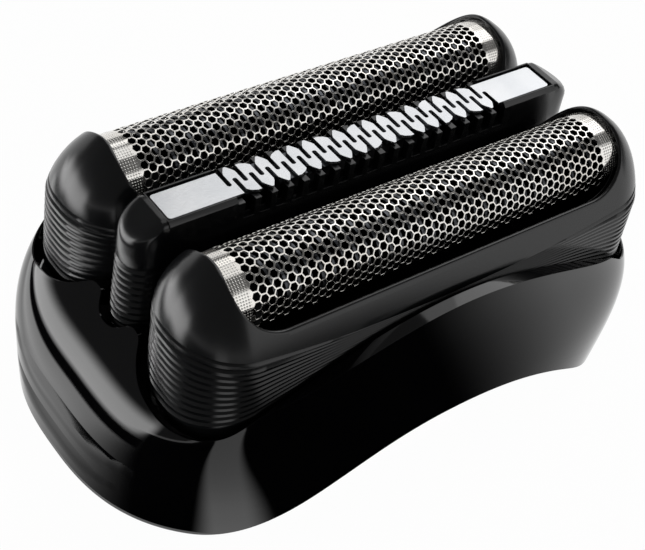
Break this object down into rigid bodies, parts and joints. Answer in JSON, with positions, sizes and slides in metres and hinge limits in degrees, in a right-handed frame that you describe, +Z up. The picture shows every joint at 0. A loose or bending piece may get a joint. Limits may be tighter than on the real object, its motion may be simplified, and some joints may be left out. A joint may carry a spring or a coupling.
{
  "type": "shaver foil head",
  "caption": "Foil head of an electric shaver: arched perforated foils and a long-hair trimmer float on springs in a black casing that clips onto the shaver",
  "frame": {"origin": "On the surface that the two casing ends stand on, under the middle of the casing", "axes": "+X along the foils, +Y from the front foil to the rear foil, +Z up through the foils"},
  "size_m": [0.0574, 0.0366, 0.025],
  "materials": {
    "gloss_black": "polished black",
    "satin_black": "satin black",
    "dark_plastic": "plain moulded",
    "nickel_foil": "bright electroformed nickel",
    "comb_steel": "satin stamped steel",
    "cutter_steel": "ground steel",
    "spring_steel": "drawn wire and strip"
  },
  "bodies": {
    "cassette": {"outer_casing": "gloss_black", "chassis": "dark_plastic", "front_left_spring": "spring_steel", "front_right_spring": "spring_steel", "rear_left_spring": "spring_steel", "rear_right_spring": "spring_steel", "trimmer_left_spring": "spring_steel", "trimmer_right_spring": "spring_steel"},
    "front_unit": {"front_foil_frame": "satin_black", "front_foil": "nickel_foil"},
    "rear_unit": {"rear_foil_frame": "satin_black", "rear_foil": "nickel_foil"},
    "trimmer_unit": {"trimmer_housing": "satin_black", "trimmer_comb_plate": "comb_steel"},
    "front_drive_body": {"front_drive_coupling": "dark_plastic", "front_cutter_spring": "spring_steel"},
    "rear_drive_body": {"rear_drive_coupling": "dark_plastic", "rear_cutter_spring": "spring_steel"},
    "front_cutter": {"front_cutter_carrier": "dark_plastic", "front_cutter_blades": "cutter_steel"},
    "rear_cutter": {"rear_cutter_carrier": "dark_plastic", "rear_cutter_blades": "cutter_steel"},
    "trimmer_cutter": {"trimmer_slider": "dark_plastic", "trimmer_blade": "cutter_steel", "trimmer_pressure_spring": "spring_steel"}
  },
  "joints": [
    {"name": "front_float", "type": "slide", "parent": "cassette", "child": "front_unit", "axis": [0, 0, 1], "range_m": [-0.0016, 0], "stiffness_N_per_m": 300, "springref_m": 0.003, "deforming": ["front_left_spring", "front_right_spring"]},
    {"name": "rear_float", "type": "slide", "parent": "cassette", "child": "rear_unit", "axis": [0, 0, 1], "range_m": [-0.0016, 0], "stiffness_N_per_m": 300, "springref_m": 0.003, "deforming": ["rear_left_spring", "rear_right_spring"]},
    {"name": "trimmer_float", "type": "slide", "parent": "cassette", "child": "trimmer_unit", "axis": [0, 0, 1], "range_m": [-0.0016, 0], "stiffness_N_per_m": 300, "springref_m": 0.003, "deforming": ["trimmer_left_spring", "trimmer_right_spring"]},
    {"name": "front_stroke", "type": "slide", "parent": "front_unit", "child": "front_drive_body", "axis": [1, 0, 0], "range_m": [-0.001, 0.001]},
    {"name": "rear_stroke", "type": "slide", "parent": "rear_unit", "child": "rear_drive_body", "axis": [1, 0, 0], "range_m": [-0.001, 0.001]},
    {"name": "trimmer_stroke", "type": "slide", "parent": "trimmer_unit", "child": "trimmer_cutter", "axis": [1, 0, 0], "range_m": [-0.001, 0.001]},
    {"name": "front_lift", "type": "slide", "parent": "front_drive_body", "child": "front_cutter", "axis": [0, 0, 1], "range_m": [-0.0008, 0], "stiffness_N_per_m": 250, "springref_m": 0.0025, "deforming": ["front_cutter_spring"]},
    {"name": "rear_lift", "type": "slide", "parent": "rear_drive_body", "child": "rear_cutter", "axis": [0, 0, 1], "range_m": [-0.0008, 0], "stiffness_N_per_m": 250, "springref_m": 0.0025, "deforming": ["rear_cutter_spring"]}
  ]
}
